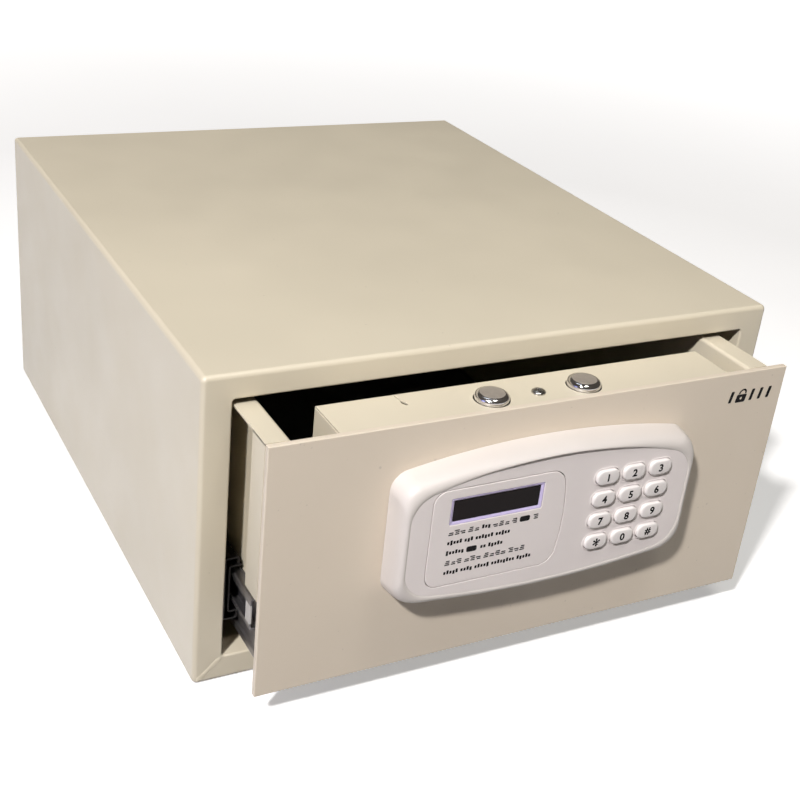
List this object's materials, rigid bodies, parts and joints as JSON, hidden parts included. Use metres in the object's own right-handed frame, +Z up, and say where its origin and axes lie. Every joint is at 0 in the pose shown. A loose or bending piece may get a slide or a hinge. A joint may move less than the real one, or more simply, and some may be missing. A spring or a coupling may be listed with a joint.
{
  "type": "in-room safe",
  "caption": "Drawer-type in-room safe: a steel case with a keypad-fronted drawer on ball slides and motor-driven vertical bolts.",
  "frame": {"origin": "on the floor, in the middle of the object's box at rest (drawer 48.5 mm open), between the keys' fronts and the back panel", "axes": "+X to the right seen from the front, +Y towards the back, +Z up; the drawer opens towards -Y"},
  "size_m": [0.4, 0.5192, 0.21],
  "materials": {
    "case_paint": "semi-gloss cream powder coat with faint orange peel",
    "panel_paint": "semi-gloss beige powder coat",
    "zinc_sheet": "bright zinc plate on pressed steel",
    "dark_steel": "dull dark plated steel",
    "zinc_screw": "satin nickel plate",
    "ball_cage": "satin, lightly greased",
    "bolt_chrome": "polished chrome plate",
    "black_plastic": "fine moulded texture",
    "felt_mat": "needled felt",
    "battery_skin": "printed metallic sleeve, no text",
    "circuit_board": "solder mask",
    "cable_sheath": "soft sleeve",
    "bezel_plastic": "satin moulded white",
    "insert_plastic": "satin film",
    "frame_plastic": "pale lilac satin",
    "display_lens": "smoked dark red window",
    "silicone": "matte",
    "key_plastic": "satin moulded white"
  },
  "bodies": {
    "case": {"case_shell": "case_paint", "back_panel": "case_paint", "strike_plate": "zinc_sheet", "slide_bracket_left": "dark_steel", "slide_bracket_right": "dark_steel", "slide_outer_left": "zinc_sheet", "slide_outer_right": "zinc_sheet", "anchor_plug_bottom_left": "black_plastic", "anchor_plug_bottom_right": "black_plastic", "anchor_plug_back_left": "black_plastic", "anchor_plug_back_right": "black_plastic"},
    "drawer": {"front_panel": "panel_paint", "drawer_tray": "case_paint", "drawer_side_left": "case_paint", "drawer_side_right": "case_paint", "drawer_mat": "felt_mat", "slide_inner_left": "zinc_sheet", "slide_inner_right": "zinc_sheet", "lock_cover": "case_paint", "cover_screw": "zinc_screw", "bolt_guide": "zinc_sheet", "motor_bracket": "zinc_sheet", "lock_motor": "dark_steel", "battery_holder": "black_plastic", "battery_1": "battery_skin", "battery_2": "battery_skin", "battery_3": "battery_skin", "battery_4": "battery_skin", "control_board": "circuit_board", "keypad_cable": "cable_sheath", "bezel": "bezel_plastic", "label_insert": "insert_plastic", "display_frame": "frame_plastic", "display_lens": "display_lens", "display_module": "black_plastic", "keypad_mat": "silicone", "keypad_board": "circuit_board"},
    "bolts": {"bolt_carrier": "zinc_sheet", "bolt_left": "bolt_chrome", "bolt_right": "bolt_chrome"},
    "motor_shaft": {"motor_pinion": "ball_cage"},
    "battery_lid": {"battery_door": "case_paint"},
    "slide_middle_left": {"slide_middle_left": "zinc_sheet"},
    "ball_cage_outer_left": {"ball_cage_outer_left": "ball_cage"},
    "ball_cage_inner_left": {"ball_cage_inner_left": "ball_cage"},
    "slide_middle_right": {"slide_middle_right": "zinc_sheet"},
    "ball_cage_outer_right": {"ball_cage_outer_right": "ball_cage"},
    "ball_cage_inner_right": {"ball_cage_inner_right": "ball_cage"},
    "button_1": {"key_1": "key_plastic"},
    "button_2": {"key_2": "key_plastic"},
    "button_3": {"key_3": "key_plastic"},
    "button_4": {"key_4": "key_plastic"},
    "button_5": {"key_5": "key_plastic"},
    "button_6": {"key_6": "key_plastic"},
    "button_7": {"key_7": "key_plastic"},
    "button_8": {"key_8": "key_plastic"},
    "button_9": {"key_9": "key_plastic"},
    "button_star": {"key_star": "key_plastic"},
    "button_0": {"key_0": "key_plastic"},
    "button_hash": {"key_hash": "key_plastic"}
  },
  "joints": [
    {"name": "drawer_slide", "type": "slide", "parent": "case", "child": "drawer", "axis": [0, -1, 0], "range_m": [-0.0485, 0.3]},
    {"name": "bolt_lift", "type": "slide", "parent": "drawer", "child": "bolts", "axis": [0, 0, 1], "range_m": [0, 0.012]},
    {"name": "motor_turn", "type": "hinge", "parent": "drawer", "child": "motor_shaft", "pos_m": [0.012, -0.22295, 0.1], "axis": [0, 1, 0], "range_deg": [0, 86]},
    {"name": "battery_lid_hinge", "type": "hinge", "parent": "drawer", "child": "battery_lid", "pos_m": [-0.094, -0.20045, 0.079], "axis": [-1, 0, 0], "range_deg": [0, 100]},
    {"name": "slide_middle_left_run", "type": "slide", "parent": "case", "child": "slide_middle_left", "axis": [0, -1, 0], "range_m": [-0.02425, 0.15]},
    {"name": "ball_cage_outer_left_run", "type": "slide", "parent": "case", "child": "ball_cage_outer_left", "axis": [0, -1, 0], "range_m": [-0.01213, 0.075]},
    {"name": "ball_cage_inner_left_run", "type": "slide", "parent": "case", "child": "ball_cage_inner_left", "axis": [0, -1, 0], "range_m": [-0.03637, 0.225]},
    {"name": "slide_middle_right_run", "type": "slide", "parent": "case", "child": "slide_middle_right", "axis": [0, -1, 0], "range_m": [-0.02425, 0.15]},
    {"name": "ball_cage_outer_right_run", "type": "slide", "parent": "case", "child": "ball_cage_outer_right", "axis": [0, -1, 0], "range_m": [-0.01213, 0.075]},
    {"name": "ball_cage_inner_right_run", "type": "slide", "parent": "case", "child": "ball_cage_inner_right", "axis": [0, -1, 0], "range_m": [-0.03637, 0.225]},
    {"name": "press_1", "type": "slide", "parent": "drawer", "child": "button_1", "axis": [0, 1, 0], "range_m": [0, 0.0012], "stiffness_N_per_m": 250},
    {"name": "press_2", "type": "slide", "parent": "drawer", "child": "button_2", "axis": [0, 1, 0], "range_m": [0, 0.0012], "stiffness_N_per_m": 250},
    {"name": "press_3", "type": "slide", "parent": "drawer", "child": "button_3", "axis": [0, 1, 0], "range_m": [0, 0.0012], "stiffness_N_per_m": 250},
    {"name": "press_4", "type": "slide", "parent": "drawer", "child": "button_4", "axis": [0, 1, 0], "range_m": [0, 0.0012], "stiffness_N_per_m": 250},
    {"name": "press_5", "type": "slide", "parent": "drawer", "child": "button_5", "axis": [0, 1, 0], "range_m": [0, 0.0012], "stiffness_N_per_m": 250},
    {"name": "press_6", "type": "slide", "parent": "drawer", "child": "button_6", "axis": [0, 1, 0], "range_m": [0, 0.0012], "stiffness_N_per_m": 250},
    {"name": "press_7", "type": "slide", "parent": "drawer", "child": "button_7", "axis": [0, 1, 0], "range_m": [0, 0.0012], "stiffness_N_per_m": 250},
    {"name": "press_8", "type": "slide", "parent": "drawer", "child": "button_8", "axis": [0, 1, 0], "range_m": [0, 0.0012], "stiffness_N_per_m": 250},
    {"name": "press_9", "type": "slide", "parent": "drawer", "child": "button_9", "axis": [0, 1, 0], "range_m": [0, 0.0012], "stiffness_N_per_m": 250},
    {"name": "press_star", "type": "slide", "parent": "drawer", "child": "button_star", "axis": [0, 1, 0], "range_m": [0, 0.0012], "stiffness_N_per_m": 250},
    {"name": "press_0", "type": "slide", "parent": "drawer", "child": "button_0", "axis": [0, 1, 0], "range_m": [0, 0.0012], "stiffness_N_per_m": 250},
    {"name": "press_hash", "type": "slide", "parent": "drawer", "child": "button_hash", "axis": [0, 1, 0], "range_m": [0, 0.0012], "stiffness_N_per_m": 250}
  ],
  "couplings": [
    {"joint": "motor_turn", "follows": "bolt_lift", "rad_per_m": 125},
    {"joint": "slide_middle_left_run", "follows": "drawer_slide", "ratio": 0.5},
    {"joint": "ball_cage_outer_left_run", "follows": "drawer_slide", "ratio": 0.25},
    {"joint": "ball_cage_inner_left_run", "follows": "drawer_slide", "ratio": 0.75},
    {"joint": "slide_middle_right_run", "follows": "drawer_slide", "ratio": 0.5},
    {"joint": "ball_cage_outer_right_run", "follows": "drawer_slide", "ratio": 0.25},
    {"joint": "ball_cage_inner_right_run", "follows": "drawer_slide", "ratio": 0.75}
  ]
}
